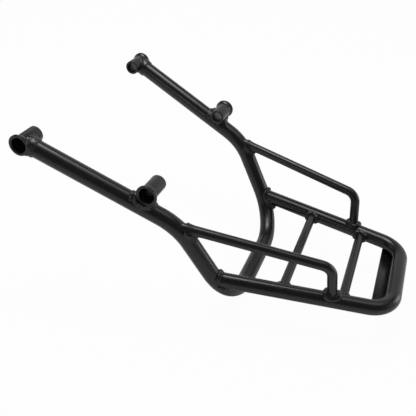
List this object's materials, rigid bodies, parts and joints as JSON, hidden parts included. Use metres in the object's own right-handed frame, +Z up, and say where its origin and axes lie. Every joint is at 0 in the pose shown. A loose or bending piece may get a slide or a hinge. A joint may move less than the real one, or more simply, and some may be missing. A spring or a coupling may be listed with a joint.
{
  "type": "motorcycle rear rack",
  "caption": "Welded tubular rear carrier for a motorcycle: bent main tube with bolt sleeves, a flat tray loop with cross bars, and raised side rails.",
  "frame": {"origin": "middle of the rack's outline seen from above, level with the lowest point of the main tube", "axes": "+X points rearward along the motorcycle, +Y to the rider's right, +Z up"},
  "size_m": [0.4724, 0.3176, 0.213],
  "materials": {
    "frame_tube": "satin black powder coat on steel tube",
    "plate": "satin black powder coat on steel sheet",
    "sleeve": "satin black powder coat on turned steel",
    "weld": "satin black powder coat over rippled weld beads"
  },
  "bodies": {
    "root": {"main_tube": "frame_tube", "tray_loop": "frame_tube", "side_rail_left": "frame_tube", "side_rail_right": "frame_tube", "cross_bar_front": "frame_tube", "cross_bar_rear": "frame_tube", "rear_plate": "plate", "sleeve_front_left": "sleeve", "sleeve_front_right": "sleeve", "sleeve_mid_left": "sleeve", "sleeve_mid_right": "sleeve", "weld_sleeve_front_left": "weld", "weld_sleeve_front_right": "weld", "weld_sleeve_mid_left": "weld", "weld_sleeve_mid_right": "weld", "weld_tray_left": "weld", "weld_tray_right": "weld", "weld_rail_front_left": "weld", "weld_rail_front_right": "weld", "weld_rail_foot_left": "weld", "weld_rail_foot_right": "weld", "weld_bar_front_left": "weld", "weld_bar_front_right": "weld", "weld_bar_rear_left": "weld", "weld_bar_rear_right": "weld", "weld_plate_left": "weld", "weld_plate_right": "weld", "weld_plate_rear": "weld"}
  },
  "joints": []
}
